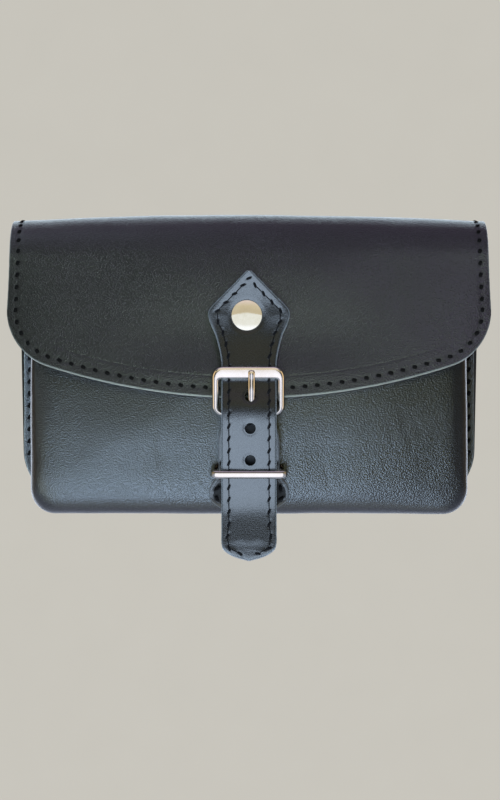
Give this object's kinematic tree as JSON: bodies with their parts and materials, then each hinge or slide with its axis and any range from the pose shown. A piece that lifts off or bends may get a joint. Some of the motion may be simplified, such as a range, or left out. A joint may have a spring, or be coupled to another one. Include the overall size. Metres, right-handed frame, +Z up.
{
  "type": "belt bag",
  "caption": "Leather belt bag: a rolled flap over a moulded pouch, closed by a riveted strap with buckle and keeper, worn on a waist belt through loops at its back.",
  "frame": {"origin": "middle of the belt line: halfway along the belt loops' slots, between the bag's back and the loops", "axes": "+X to the right as seen from the front, -Y out of the front, +Z up as worn"},
  "size_m": [0.196, 0.0669, 0.1411],
  "materials": {
    "hide": "black dyed cowhide, fine grain, low sheen",
    "strap": "black dyed bridle leather, smooth, low sheen",
    "nickel": "bright nickel plate"
  },
  "bodies": {
    "root": {"back_flap": "hide", "front_body": "hide", "billet_strap": "strap", "buckle_tab": "strap", "belt_loop_left": "hide", "belt_loop_right": "hide", "buckle_frame": "nickel", "buckle_prong": "nickel", "keeper_loop": "nickel", "rivet": "nickel"}
  },
  "joints": []
}
